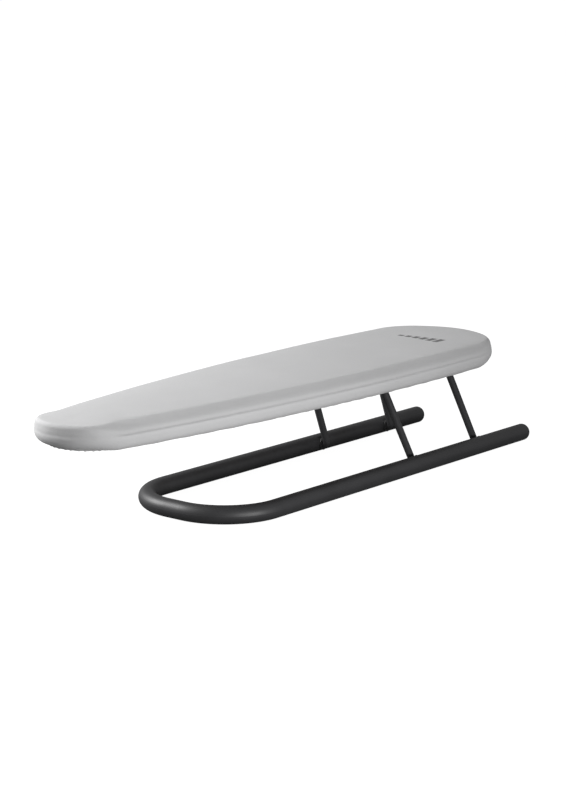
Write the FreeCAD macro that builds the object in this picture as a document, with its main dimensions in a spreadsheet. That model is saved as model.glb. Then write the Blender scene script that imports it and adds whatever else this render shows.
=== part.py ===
import FreeCAD, Part
import math
import os

import Sketcher

# Tabletop sleeve ironing board: a padded board on two wire bails that fold down
# into a U-shaped base of round tube. Millimetres, +Z up, +X from nose to heel,
# origin on the table under the middle of the standing object.

SIZES = (
    ("board_length", 619, "covered board, nose to heel"),
    ("board_width", 169, "covered board at its widest"),
    ("nose_radius", 51.3, "round of the narrow end"),
    ("widest_from_nose", 440, "where the sides are furthest apart"),
    ("core_thickness", 10, "wooden panel"),
    ("felt_thickness", 2.5, "underlay on the panel"),
    ("foam_thickness", 8, "pad on the underlay"),
    ("cloth_thickness", 0.8, "cover"),
    ("shoulder_radius", 8, "round of the cover's upper edge"),
    ("lower_radius", 9.4, "round of the cover's lower edge"),
    ("hem_width", 11, "cover turned under the panel"),
    ("binding_width", 6, "tape casing along the hem"),
    ("binding_thickness", 2.6, "tape casing along the hem"),
    ("elastic_width", 4, "flat elastic in the casing"),
    ("elastic_thickness", 1, "flat elastic in the casing"),
    ("tube_diameter", 18, "base tube, outside"),
    ("tube_wall", 1.5, "base tube"),
    ("base_length", 496, "outside of the bend to the caps' tips"),
    ("base_width", 158, "outside of one arm to outside of the other"),
    ("bend_radius", 60, "base tube's centreline at each corner of the U"),
    ("cap_dome", 7.5, "cap standing out of the tube"),
    ("cap_rounding", 6.75, "round of the cap's rim"),
    ("plug_length", 14, "cap's plug inside the tube"),
    ("plug_wall", 1.6, "cap's plug is hollow"),
    ("plug_clearance", 0.1, "radial, plug in tube"),
    ("wire_diameter", 7.5, "bails"),
    ("front_pivot_from_nose", 459.7, "front bail's foot axis"),
    ("pivot_spacing", 113, "front foot axis to rear foot axis"),
    ("rear_pivot_from_tip", 75, "rear foot axis to the caps' tips"),
    ("bail_lean", 26.7, "degrees from upright, towards the nose"),
    ("bail_rise", 94.36, "foot axis to crossbar axis"),
    ("crossbar_straight", 81, "straight part of the crossbar"),
    ("top_bend_radius", 7.5, "wire centreline, crossbar to leg"),
    ("foot_bend_radius", 5, "wire centreline, leg to foot"),
    ("foot_reach", 5.5, "foot past the tube's inner side"),
    ("bush_barrel", 10, "bush in the tube, outside diameter"),
    ("bush_flange", 12.5, "bush flange, outside diameter"),
    ("bush_stand", 1, "bush flange, proud of the tube's inner side"),
    ("bush_depth", 4.5, "bush barrel, past the tube's inner side"),
    ("foot_clearance", 0.05, "radial, foot in bush"),
    ("saddle_thickness", 1.2, "pressed saddle's sheet"),
    ("saddle_width", 14, "pressed saddle along the crossbar"),
    ("saddle_offset", 31, "saddle's middle from the centre line"),
    ("saddle_wing", 10, "each wing past the strap"),
    ("saddle_clearance", 0.2, "radial, crossbar in strap"),
    ("stop_outer", 49, "stop tab's outer edge from the centre line"),
    ("stop_width", 6, "stop tab across the leg"),
    ("stop_length", 9, "stop tab along the leg, past the crossbar's axis"),
    ("stop_gap", 0.15, "leg to stop tab when the board stands"),
    ("screw_shank", 3, "saddle screws"),
    ("screw_length", 8, "saddle screws under the head"),
    ("screw_head", 6.4, "saddle screws"),
    ("screw_head_height", 1.9, "saddle screws"),
    ("screw_head_flat", 3.8, "flat of the head, diameter"),
    ("screw_point", 3, "cone at the screw's end"),
    ("screw_clearance", 0.05, "radial, shank in its holes"),
    ("recess_width", 0.9, "screw's cross recess"),
    ("recess_length", 3.6, "screw's cross recess"),
    ("recess_depth", 1.0, "screw's cross recess"),
)

# Worked out from the sizes above. In x, a name that ends in _from_nose starts at the nose.
DERIVED = (
    ("tip_from_nose", "Sizes.front_pivot_from_nose + Sizes.pivot_spacing + Sizes.rear_pivot_from_tip"),
    ("base_from_nose", "tip_from_nose - Sizes.base_length"),
    ("nose_x", "-(min(0; base_from_nose) + max(Sizes.board_length; tip_from_nose)) / 2"),
    ("half_width", "Sizes.board_width / 2"),
    ("nose_run", "Sizes.widest_from_nose - Sizes.nose_radius"),
    ("heel_run", "Sizes.board_length - Sizes.widest_from_nose"),
    ("side_radius", "(nose_run^2 + half_width^2 - Sizes.nose_radius^2)"
                    " / (Sizes.board_width - 2 * Sizes.nose_radius)"),
    ("heel_radius", "(2 * half_width * side_radius - half_width^2 - heel_run^2)"
                    " / (2 * (side_radius - heel_run))"),
    ("tube_radius", "Sizes.tube_diameter / 2"),
    ("bore_radius", "tube_radius - Sizes.tube_wall"),
    ("arm_offset", "Sizes.base_width / 2 - tube_radius"),
    ("arm_inner", "arm_offset - tube_radius"),
    ("bend_from_nose", "base_from_nose + tube_radius"),
    ("tube_end_from_nose", "tip_from_nose - Sizes.cap_dome"),
    ("arm_run", "tube_end_from_nose - bend_from_nose"),
    ("wire_radius", "Sizes.wire_diameter / 2"),
    ("foot_start", "arm_inner - Sizes.bush_stand"),
    ("foot_end", "arm_inner + Sizes.foot_reach"),
    ("front_foot_x", "nose_x + Sizes.front_pivot_from_nose"),
    ("rear_foot_x", "front_foot_x + Sizes.pivot_spacing"),
    ("bar_shift", "Sizes.bail_rise * sin(Sizes.bail_lean)"),
    ("front_bar_from_nose", "Sizes.front_pivot_from_nose - bar_shift"),
    ("rear_bar_from_nose", "front_bar_from_nose + Sizes.pivot_spacing"),
    ("bar_z", "tube_radius + Sizes.bail_rise * cos(Sizes.bail_lean)"),
    ("strap_inner", "wire_radius + Sizes.saddle_clearance"),
    ("strap_outer", "strap_inner + Sizes.saddle_thickness"),
    ("wing_bottom", "strap_inner - Sizes.saddle_thickness"),
    ("wing_end", "strap_outer + Sizes.saddle_wing"),
    ("screw_offset", "strap_outer + Sizes.saddle_wing / 2"),
    ("stop_front", "wire_radius + Sizes.stop_gap"),
    ("panel_z", "bar_z + strap_inner"),
    ("felt_z", "panel_z + Sizes.core_thickness"),
    ("foam_z", "felt_z + Sizes.felt_thickness"),
    ("foam_top", "foam_z + Sizes.foam_thickness"),
    ("cover_bottom", "panel_z - Sizes.cloth_thickness"),
    ("cover_height", "foam_top + Sizes.cloth_thickness - cover_bottom"),
    ("padding_height", "foam_top - panel_z"),
    ("inner_shoulder", "Sizes.shoulder_radius - Sizes.cloth_thickness"),
    ("inner_lower", "min(Sizes.lower_radius - Sizes.cloth_thickness; 0.95 * Sizes.core_thickness)"),
    ("opening_cut", "3 * Sizes.cloth_thickness"),
    ("hole_cut", "4 * strap_inner"),
    ("seat_run", "2 * Sizes.bush_flange"),
    ("edge", "0"),
    ("padding_inset", "Sizes.cloth_thickness"),
    ("hem_inset", "Sizes.hem_width"),
    ("binding_inset", "hem_inset + Sizes.binding_width"),
    ("elastic_margin", "(Sizes.binding_width - Sizes.elastic_width) / 2"),
    ("elastic_outside", "hem_inset + elastic_margin"),
    ("elastic_inside", "binding_inset - elastic_margin"),
    ("binding_z", "panel_z - Sizes.binding_thickness"),
    ("elastic_z", "panel_z - (Sizes.binding_thickness + Sizes.elastic_thickness) / 2"),
)

START, END, CENTRE = 1, 2, 3
X_AXIS, Y_AXIS = -1, -2
FULL_TURN = 2 * math.pi
SIZE_NAMES = {row[0] for row in SIZES}
SIDES = (("left", 1), ("right", -1))
BAILS = ("front", "rear")
UP = FreeCAD.Vector(0, 0, 1)
# A cap's rim is rounded by its own size, or by what its dome and its radius leave room for.
ROUND_LIMIT = "min(Sizes.cap_rounding; 0.95 * min(Sizes.cap_dome; Derived.tube_radius))"

doc = FreeCAD.newDocument("SleeveBoard")


# ---------------------------------------------------------------- sheets and small helpers

def make_sheet(name, rows):
    """One row per size: its name, its value or formula, and a note."""
    sheet = doc.addObject("Spreadsheet::Sheet", name)
    for number, row in enumerate(rows, start=1):
        for column, entry in zip("ABC", row):
            sheet.set(column + str(number), str(entry))
        sheet.setAlias("B" + str(number), row[0])
    doc.recompute()
    return sheet


sizes = make_sheet("Sizes", SIZES)
derived = make_sheet("Derived", [(name, "=" + formula) for name, formula in DERIVED])


def size(name):
    """A value from either sheet, as a plain number."""
    sheet = sizes if name in SIZE_NAMES else derived
    return float(getattr(sheet, name))


def cell(name):
    """The same value as an expression that properties can be bound to."""
    return ("Sizes." if name in SIZE_NAMES else "Derived.") + name


def bind(item, expressions):
    for path, expression in expressions.items():
        item.setExpression(path, expression)


def make_body(name, x=None, y=None, z=None):
    """A body whose place is bound to expressions."""
    body = doc.addObject("PartDesign::Body", name)
    body.Label = name
    for axis, expression in (("x", x), ("y", y), ("z", z)):
        if expression:
            body.setExpression("Placement.Base." + axis, expression)
    return body


def make_sketch(body, name, role="XY_Plane"):
    sketch = body.newObject("Sketcher::SketchObject", name)
    plane = next(item for item in body.Origin.OriginFeatures if item.Role == role)
    sketch.AttachmentSupport = [(plane, "")]
    sketch.MapMode = "FlatFace"
    return sketch


def settle(sketch):
    """Solve a sketch and stop if its constraints clash or repeat each other."""
    doc.recompute()
    if sketch.solve() != 0 or sketch.RedundantConstraints or sketch.ConflictingConstraints:
        raise RuntimeError(sketch.Name + " is not soundly constrained")


def point(x, y):
    return FreeCAD.Vector(x, y, 0)


def dimension(sketch, name, value, expression, kind, *where):
    """A named dimension that starts at its drawn value and follows an expression."""
    index = sketch.addConstraint(Sketcher.Constraint(kind, *where, value))
    sketch.renameConstraint(index, name)
    sketch.setExpression("Constraints." + name, expression)


def add_circle(sketch, name, x, y, radius):
    """A circle at (x, y), each given as (value, expression)."""
    circle = sketch.addGeometry(Part.Circle(point(x[0], y[0]), UP, radius[0]))
    dimension(sketch, name + "_radius", radius[0], radius[1], "Radius", circle)
    for kind, axis, place in (("DistanceX", "x", x), ("DistanceY", "y", y)):
        if place[1] == "0":
            line = Y_AXIS if axis == "x" else X_AXIS
            sketch.addConstraint(Sketcher.Constraint("PointOnObject", circle, CENTRE, line))
        else:
            dimension(sketch, name + "_" + axis, place[0], place[1], kind,
                      X_AXIS, START, circle, CENTRE)
    return circle


def named(name, sign=1):
    """(value, expression) of a size, mirrored where sign is negative."""
    return sign * size(name), ("-" if sign < 0 else "") + cell(name)


def pad(body, sketch, length, **settings):
    settle(sketch)
    feature = body.newObject("PartDesign::Pad", body.Name + "_pad")
    feature.Profile = sketch
    feature.setExpression("Length", length)
    for setting, value in settings.items():
        setattr(feature, setting, value)
    doc.recompute()
    return feature


def cut_deeper(body, sketch, length, **settings):
    """A pocket, refused when it takes nothing away."""
    settle(sketch)
    before = body.Shape.Volume
    feature = body.newObject("PartDesign::Pocket", body.Name + "_pocket")
    feature.Profile = sketch
    feature.setExpression("Length", length)
    for setting, value in settings.items():
        setattr(feature, setting, value)
    doc.recompute()
    if body.Shape.Volume >= before:
        raise RuntimeError(feature.Name + " cuts nothing")
    return feature


def edges_at_height(shape, height):
    """Names of the edges that lie flat at one height of the body's own frame."""
    near = 1e-4
    return ["Edge" + str(number) for number, edge in enumerate(shape.Edges, start=1)
            if abs(edge.BoundBox.ZMin - height) < near and abs(edge.BoundBox.ZMax - height) < near]


def round_edges(body, base, height, radius):
    feature = body.newObject("PartDesign::Fillet", body.Name + "_round")
    feature.Base = (base, edges_at_height(base.Shape, height))
    feature.setExpression("Radius", radius)
    doc.recompute()
    return feature


# ---------------------------------------------------------------- outline of the board

def add_outline(sketch, inset):
    """Nose, heel and two side arcs, tangent to each other, inside the cover's edge by an inset.

    The four centres are the same for every inset, so that layers stay parallel."""
    gap, nose, heel, side = (size(name) for name in (inset, "nose_radius", "heel_radius", "side_radius"))
    nose_centre = point(nose, 0)
    heel_centre = point(size("board_length") - heel, 0)
    side_centre = point(size("widest_from_nose"), size("half_width") - side)
    to_nose = nose_centre - side_centre
    to_heel = heel_centre - side_centre
    nose_angle = math.atan2(to_nose.y, to_nose.x)
    heel_angle = math.atan2(to_heel.y, to_heel.x)
    mirrored_side = point(side_centre.x, -side_centre.y)
    arcs = (
        ("side", side_centre, side, heel_angle, nose_angle),
        ("nose", nose_centre, nose, nose_angle, FULL_TURN - nose_angle),
        ("far_side", mirrored_side, side, FULL_TURN - nose_angle, FULL_TURN - heel_angle),
        ("heel", heel_centre, heel, -heel_angle, heel_angle),
    )
    ids = {}
    for name, centre, radius, first, last in arcs:
        circle = Part.Circle(centre, UP, radius - gap)
        ids[name] = sketch.addGeometry(Part.ArcOfCircle(circle, first, last))
    order = [ids[name] for name, *_ in arcs]
    for arc, following in zip(order, order[1:] + order[:1]):
        sketch.addConstraint(Sketcher.Constraint("Tangent", arc, END, following, START))
    for name, radius in (("side", side), ("nose", nose), ("heel", heel)):
        expression = cell(name + "_radius") + " - " + cell(inset)
        dimension(sketch, name + "_" + inset, radius - gap, expression, "Radius", ids[name])
    for name in ("nose", "heel"):
        sketch.addConstraint(Sketcher.Constraint("PointOnObject", ids[name], CENTRE, X_AXIS))
    sketch.addConstraint(Sketcher.Constraint("Equal", ids["side"], ids["far_side"]))
    for name, place, expression in (("nose", nose, "Sizes.nose_radius"),
                                    ("side", side_centre.x, "Sizes.widest_from_nose")):
        dimension(sketch, name + "_place_" + inset, place, expression, "DistanceX",
                  X_AXIS, START, ids[name], CENTRE)


def board_layer(name, z, height, outside, inside=None):
    """A flat layer of the board's outline, or a ring where an inside is given."""
    body = make_body(name, x="Derived.nose_x", z=z)
    sketch = make_sketch(body, name + "_outline")
    add_outline(sketch, outside)
    if inside:
        add_outline(sketch, inside)
    return body, pad(body, sketch, height)


# ---------------------------------------------------------------- board

def make_core():
    """Wooden panel with pilot holes for the saddle screws, rounded underneath."""
    body, layer = board_layer("board_core", "Derived.panel_z", "Sizes.core_thickness", "padding_inset")
    round_edges(body, layer, 0, "Derived.inner_lower")
    holes = make_sketch(body, "pilot_holes")
    radius = (size("screw_shank") / 2 + size("screw_clearance"),
              "Sizes.screw_shank / 2 + Sizes.screw_clearance")
    for bail in BAILS:
        for side, sign in SIDES:
            for end, direction in (("nose", -1), ("heel", 1)):
                bar = named(bail + "_bar_from_nose")
                offset = named("screw_offset", direction)
                x = (bar[0] + offset[0], bar[1] + " + " + offset[1])
                add_circle(holes, "_".join((bail, side, end)), x, named("saddle_offset", sign), radius)
    cut_deeper(body, holes, "Sizes.screw_length - Sizes.saddle_thickness + Sizes.screw_clearance",
               Reversed=True)
    return body


def make_felt():
    body, _ = board_layer("felt_underlay", "Derived.felt_z", "Sizes.felt_thickness", "padding_inset")
    return body


def make_foam():
    body, layer = board_layer("foam_pad", "Derived.foam_z", "Sizes.foam_thickness", "padding_inset")
    round_edges(body, layer, size("foam_thickness"), "Derived.inner_shoulder")
    return body


def make_cover():
    """Cloth shell over the padding, turned under the panel and open inside the hem."""
    outside, layer = board_layer("cover_outside", "Derived.cover_bottom", "Derived.cover_height", "edge")
    top = round_edges(outside, layer, size("cover_height"), "Sizes.shoulder_radius")
    round_edges(outside, top, 0, "Sizes.lower_radius")
    inside, layer = board_layer("cover_inside", "Derived.panel_z", "Derived.padding_height",
                                "padding_inset")
    top = round_edges(inside, layer, size("padding_height"), "Derived.inner_shoulder")
    round_edges(inside, top, 0, "Derived.inner_lower")
    opening, _ = board_layer("cover_opening", "Derived.cover_bottom - Sizes.cloth_thickness",
                             "Derived.opening_cut", "hem_inset")
    hollow = doc.addObject("Part::Cut", "cover_hollow")
    hollow.Base, hollow.Tool = outside, inside
    cover = doc.addObject("Part::Cut", "cover")
    cover.Base, cover.Tool = hollow, opening
    return cover


def make_hem():
    """Tape casing along the cover's edge, and the flat elastic that it holds."""
    casing, _ = board_layer("casing", "Derived.binding_z", "Sizes.binding_thickness",
                            "hem_inset", "binding_inset")
    elastic, _ = board_layer("hem_elastic", "Derived.elastic_z", "Sizes.elastic_thickness",
                             "elastic_outside", "elastic_inside")
    binding = doc.addObject("Part::Cut", "hem_binding")
    binding.Base, binding.Tool = casing, elastic
    return binding, elastic


# ---------------------------------------------------------------- base

def make_base_tube():
    """Round tube bent to a U, with two holes through the inner wall of each arm."""
    body = make_body("base_tube", x="Derived.nose_x + Derived.bend_from_nose", z="Derived.tube_radius")
    arm, run, bend = size("arm_offset"), size("arm_run"), size("bend_radius")
    path = make_sketch(body, "tube_path")
    corner, near_corner = point(bend, arm - bend), point(bend, bend - arm)
    pieces = (
        Part.LineSegment(point(run, arm), point(bend, arm)),
        Part.ArcOfCircle(Part.Circle(corner, UP, bend), math.pi / 2, math.pi),
        Part.LineSegment(point(0, arm - bend), point(0, bend - arm)),
        Part.ArcOfCircle(Part.Circle(near_corner, UP, bend), math.pi, 3 * math.pi / 2),
        Part.LineSegment(point(bend, -arm), point(run, -arm)),
    )
    far_arm, far_bend, cross, near_bend, near_arm = (path.addGeometry(piece) for piece in pieces)
    for joint in ((far_arm, END, far_bend, START), (far_bend, END, cross, START),
                  (cross, END, near_bend, START), (near_bend, END, near_arm, START)):
        path.addConstraint(Sketcher.Constraint("Tangent", *joint))
    path.addConstraint(Sketcher.Constraint("Horizontal", far_arm))
    path.addConstraint(Sketcher.Constraint("Horizontal", near_arm))
    path.addConstraint(Sketcher.Constraint("Symmetric", cross, START, cross, END, X_AXIS))
    path.addConstraint(Sketcher.Constraint("PointOnObject", cross, START, Y_AXIS))
    path.addConstraint(Sketcher.Constraint("Equal", far_bend, near_bend))
    path.addConstraint(Sketcher.Constraint("Equal", far_arm, near_arm))
    dimension(path, "bend", bend, "Sizes.bend_radius", "Radius", far_bend)
    dimension(path, "offset", arm, "Derived.arm_offset", "DistanceY", X_AXIS, START, far_arm, START)
    dimension(path, "run", run, "Derived.arm_run", "DistanceX", X_AXIS, START, far_arm, START)
    section = make_sketch(body, "tube_section", "YZ_Plane")
    section.setExpression("AttachmentOffset.Base.z", "Derived.arm_run")
    centre = (named("arm_offset"), (0, "0"))
    add_circle(section, "outside", *centre, named("tube_radius"))
    add_circle(section, "bore", *centre, named("bore_radius"))
    settle(path)
    settle(section)
    tube = body.newObject("PartDesign::AdditivePipe", "tube_pipe")
    tube.Profile = section
    tube.Spine = (path, ["Edge" + str(number + 1) for number in range(len(pieces))])
    doc.recompute()
    holes = make_sketch(body, "foot_holes", "XZ_Plane")
    for bail in BAILS:
        foot, start = size(bail + "_foot_x"), size("nose_x") + size("bend_from_nose")
        x = (foot - start, cell(bail + "_foot_x") + " - Derived.nose_x - Derived.bend_from_nose")
        add_circle(holes, bail, x, (0, "0"), (size("bush_barrel") / 2, "Sizes.bush_barrel / 2"))
    cut_deeper(body, holes, "2 * Derived.arm_offset", SideType="Symmetric")
    return body


def make_end_cap(side, sign):
    """Domed plastic plug: a flange as wide as the tube, and a hollow stem inside it."""
    y = ("-" if sign < 0 else "") + "Derived.arm_offset"
    body = make_body(side + "_end_cap", x="Derived.nose_x + Derived.tube_end_from_nose", y=y,
                     z="Derived.tube_radius")
    head = make_sketch(body, side + "_cap_head", "YZ_Plane")
    add_circle(head, "head", (0, "0"), (0, "0"), named("tube_radius"))
    dome = pad(body, head, "Sizes.cap_dome")
    front = max(enumerate(dome.Shape.Edges, start=1), key=lambda pair: pair[1].BoundBox.XMin)[0]
    rounding = body.newObject("PartDesign::Fillet", body.Name + "_round")
    rounding.Base = (dome, ["Edge" + str(front)])
    rounding.setExpression("Radius", ROUND_LIMIT)
    doc.recompute()
    stem = make_sketch(body, side + "_cap_stem", "YZ_Plane")
    plug = (size("bore_radius") - size("plug_clearance"), "Derived.bore_radius - Sizes.plug_clearance")
    hollow = (plug[0] - size("plug_wall"), plug[1] + " - Sizes.plug_wall")
    add_circle(stem, "plug", (0, "0"), (0, "0"), plug)
    add_circle(stem, "hollow", (0, "0"), (0, "0"), hollow)
    pad(body, stem, "Sizes.plug_length", Reversed=True)
    return body


def cylinder(name, radius, height, x, y, z, sign=1):
    """A cylinder along Y, or along -Y where sign is negative."""
    item = doc.addObject("Part::Cylinder", name)
    item.Placement.Rotation = FreeCAD.Rotation(FreeCAD.Vector(1, 0, 0), -90 * sign)
    bind(item, {"Radius": radius, "Height": height, "Placement.Base.x": x,
                "Placement.Base.y": y, "Placement.Base.z": z})
    return item


def boolean(kind, name, base, tool):
    item = doc.addObject("Part::" + kind, name)
    item.Base, item.Tool = base, tool
    return item


def make_bush(bail, side, sign):
    """Nylon bush: a barrel in the tube's wall, and a flange shaped to the tube."""
    name = "_".join((bail, side, "bush"))
    x, z = cell(bail + "_foot_x"), "Derived.tube_radius"
    mirror = "-1 * " if sign < 0 else ""
    face = mirror + "Derived.foot_start"
    depth = "Sizes.bush_stand + Sizes.bush_depth"
    flange = cylinder(name + "_flange", "Sizes.bush_flange / 2", "Derived.tube_radius", x, face, z, sign)
    arm = doc.addObject("Part::Cylinder", name + "_arm")
    arm.Placement.Rotation = FreeCAD.Rotation(FreeCAD.Vector(0, 1, 0), 90)
    bind(arm, {"Radius": "Derived.tube_radius", "Height": "Derived.seat_run",
               "Placement.Base.x": x + " - Derived.seat_run / 2",
               "Placement.Base.y": mirror + "Derived.arm_offset", "Placement.Base.z": z})
    seated = boolean("Cut", name + "_seat", flange, arm)
    barrel = cylinder(name + "_barrel", "Sizes.bush_barrel / 2", depth, x, face, z, sign)
    solid = boolean("Fuse", name + "_solid", seated, barrel)
    bore = cylinder(name + "_bore", "Derived.wire_radius + Sizes.foot_clearance", depth, x, face, z, sign)
    return boolean("Cut", name, solid, bore)


# ---------------------------------------------------------------- bails

def leg_tangent(foot, foot_radius, top, top_radius):
    """Unit normal, away from the middle, of the line that leaves the foot bend on its
    inner side and meets the top bend on its outer side."""
    across = top - foot
    tilt = math.asin((foot_radius + top_radius) / across.Length)
    angle = math.atan2(across.y, across.x) + tilt - math.pi / 2
    return point(math.cos(angle), math.sin(angle))


def make_bail(bail):
    """One bent wire: crossbar, two spreading legs and two feet turned outwards."""
    body = make_body(bail + "_bail", x=cell(bail + "_foot_x"), z="Derived.tube_radius")
    body.Placement.Rotation = FreeCAD.Rotation(FreeCAD.Vector(0, -1, 0), 1)
    body.setExpression("Placement.Rotation.Angle", "Sizes.bail_lean")
    start, end, rise = size("foot_start"), size("foot_end"), size("bail_rise")
    half_bar = size("crossbar_straight") / 2
    foot_bend, top_bend = size("foot_bend_radius"), size("top_bend_radius")
    foot_centre, top_centre = point(start, foot_bend), point(half_bar, rise - top_bend)
    normal = leg_tangent(foot_centre, foot_bend, top_centre, top_bend)
    angle = math.atan2(normal.y, normal.x)
    low = foot_centre - normal * foot_bend
    high = top_centre + normal * top_bend

    def mirrored(place):
        return point(-place.x, place.y)

    def arc(centre, radius, first, last):
        return Part.ArcOfCircle(Part.Circle(centre, UP, radius), first, last)

    path = make_sketch(body, bail + "_path", "YZ_Plane")
    quarter, half = math.pi / 2, math.pi
    pieces = (
        Part.LineSegment(point(end, 0), point(start, 0)),
        arc(foot_centre, foot_bend, angle + half, 3 * quarter),
        Part.LineSegment(low, high),
        arc(top_centre, top_bend, angle, quarter),
        Part.LineSegment(point(half_bar, rise), point(-half_bar, rise)),
        arc(mirrored(top_centre), top_bend, quarter, half - angle),
        Part.LineSegment(mirrored(high), mirrored(low)),
        arc(mirrored(foot_centre), foot_bend, -quarter, -angle),
        Part.LineSegment(point(-start, 0), point(-end, 0)),
    )
    foot, bend, leg, top, bar, far_top, far_leg, far_bend, far_foot = (
        path.addGeometry(piece) for piece in pieces)
    for joint in ((foot, END, bend, END), (bend, START, leg, START), (leg, END, top, START),
                  (top, END, bar, START), (bar, END, far_top, START), (far_top, END, far_leg, START),
                  (far_leg, END, far_bend, END), (far_bend, START, far_foot, START)):
        path.addConstraint(Sketcher.Constraint("Tangent", *joint))
    for piece, place in ((foot, START), (foot, END), (far_foot, START), (far_foot, END)):
        path.addConstraint(Sketcher.Constraint("PointOnObject", piece, place, X_AXIS))
    path.addConstraint(Sketcher.Constraint("Symmetric", bar, START, bar, END, Y_AXIS))
    path.addConstraint(Sketcher.Constraint("Equal", bend, far_bend))
    path.addConstraint(Sketcher.Constraint("Equal", top, far_top))
    dimension(path, "foot_bend", foot_bend, "Sizes.foot_bend_radius", "Radius", bend)
    dimension(path, "top_bend", top_bend, "Sizes.top_bend_radius", "Radius", top)
    dimension(path, "rise", rise, "Sizes.bail_rise", "DistanceY", X_AXIS, START, bar, START)
    dimension(path, "crossbar", 2 * half_bar, "Sizes.crossbar_straight", "DistanceX", bar, END, bar, START)
    for name, piece, place, value, expression in (
            ("foot_end", foot, START, end, "Derived.foot_end"),
            ("foot_start", foot, END, start, "Derived.foot_start")):
        dimension(path, name, value, expression, "DistanceX", X_AXIS, START, piece, place)
    for name, piece, place, value, expression in (
            ("far_foot_start", far_foot, START, start, "Derived.foot_start"),
            ("far_foot_end", far_foot, END, end, "Derived.foot_end")):
        dimension(path, name, value, expression, "DistanceX", piece, place, X_AXIS, START)
    section = make_sketch(body, bail + "_section", "XZ_Plane")
    section.setExpression("AttachmentOffset.Base.z", "-Derived.foot_end")
    add_circle(section, "wire", (0, "0"), (0, "0"), named("wire_radius"))
    settle(path)
    settle(section)
    wire = body.newObject("PartDesign::AdditivePipe", bail + "_pipe")
    wire.Profile = section
    wire.Spine = (path, ["Edge" + str(number + 1) for number in range(len(pieces))])
    doc.recompute()
    return body


# ---------------------------------------------------------------- saddles

def add_loop(sketch, corners):
    """Straight lines through the corners, joined end to end and closed."""
    lines = [sketch.addGeometry(Part.LineSegment(first, second))
             for first, second in zip(corners, corners[1:] + corners[:1])]
    for line, following in zip(lines, lines[1:] + lines[:1]):
        sketch.addConstraint(Sketcher.Constraint("Coincident", line, END, following, START))
    return lines


def place_corner(sketch, name, line, x, y):
    """Fix the start of a line at (x, y), each given as (value, expression)."""
    for kind, axis, place in (("DistanceX", "x", x), ("DistanceY", "y", y)):
        dimension(sketch, name + "_" + axis, place[0], place[1], kind, X_AXIS, START, line, START)


def saddle_profile(sketch):
    """Omega strap seen along the crossbar, whose axis is the sketch's origin."""
    top, bottom = size("strap_inner"), size("wing_bottom")
    inner, outer, end = size("strap_inner"), size("strap_outer"), size("wing_end")
    corners = (
        point(inner, 0), point(inner, top), point(end, top), point(end, bottom),
        point(outer, bottom), point(outer, 0),
    )
    directions = ("Vertical", "Horizontal", "Vertical", "Horizontal", "Vertical")
    flanks = []
    for sign in (1, -1):
        places = [point(sign * corner.x, corner.y) for corner in corners]
        lines = [sketch.addGeometry(Part.LineSegment(first, second))
                 for first, second in zip(places, places[1:])]
        for line, following in zip(lines, lines[1:]):
            sketch.addConstraint(Sketcher.Constraint("Coincident", line, END, following, START))
        for line, direction in zip(lines, directions):
            sketch.addConstraint(Sketcher.Constraint(direction, line))
        flanks.append(lines)
    right, left = flanks
    for name, radius, index, place in (("strap_inner", inner, 0, START), ("strap_outer", outer, -1, END)):
        half_circle = Part.ArcOfCircle(Part.Circle(point(0, 0), UP, radius), math.pi, FULL_TURN)
        arc = sketch.addGeometry(half_circle)
        sketch.addConstraint(Sketcher.Constraint("Coincident", arc, CENTRE, X_AXIS, START))
        for where, line in ((END, right[index]), (START, left[index])):
            sketch.addConstraint(Sketcher.Constraint("Coincident", arc, where, line, place))
            sketch.addConstraint(Sketcher.Constraint("PointOnObject", arc, where, X_AXIS))
        dimension(sketch, name, radius, "Derived." + name, "Radius", arc)
    dimension(sketch, "right_end", end, "Derived.wing_end", "DistanceX", X_AXIS, START, right[1], END)
    dimension(sketch, "left_end", end, "Derived.wing_end", "DistanceX", left[1], END, X_AXIS, START)
    for side, lines in (("right", right), ("left", left)):
        dimension(sketch, side + "_top", top, "Derived.strap_inner", "DistanceY",
                  X_AXIS, START, lines[1], END)
        dimension(sketch, side + "_bottom", bottom, "Derived.wing_bottom", "DistanceY",
                  X_AXIS, START, lines[3], START)


def stop_profile(sketch):
    """Section of the stop tab: it hangs from the heel wing, parallel to the standing leg."""
    lean = math.radians(size("bail_lean"))
    front = size("stop_front")
    back = front + size("saddle_thickness")
    reach, top, bottom, end = (size(name) for name in
                               ("stop_length", "strap_inner", "wing_bottom", "wing_end"))
    near, far = "Derived.stop_front", "(Derived.stop_front + Sizes.saddle_thickness)"
    sine, cosine = math.sin(lean), math.cos(lean)

    def hanging(across, expression):
        """The corner at the tab's lower end, on the face at this distance from the axis."""
        return ((reach * sine + across * cosine,
                 "Sizes.stop_length * sin(Sizes.bail_lean) + " + expression + " * cos(Sizes.bail_lean)"),
                (across * sine - reach * cosine,
                 expression + " * sin(Sizes.bail_lean) - Sizes.stop_length * cos(Sizes.bail_lean)"))

    def level(across, expression, height, name):
        """The corner where that face reaches a height."""
        return ((across / cosine - height * sine / cosine,
                 expression + " / cos(Sizes.bail_lean) - Derived." + name + " * tan(Sizes.bail_lean)"),
                (height, "Derived." + name))

    places = (
        level(front, near, top, "strap_inner"),
        hanging(front, near),
        hanging(back, far),
        level(back, far, bottom, "wing_bottom"),
        ((end, "Derived.wing_end"), (bottom, "Derived.wing_bottom")),
        ((end, "Derived.wing_end"), (top, "Derived.strap_inner")),
    )
    lines = add_loop(sketch, [point(x[0], y[0]) for x, y in places])
    for number, (line, (x, y)) in enumerate(zip(lines, places)):
        place_corner(sketch, "corner_" + str(number), line, x, y)


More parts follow.
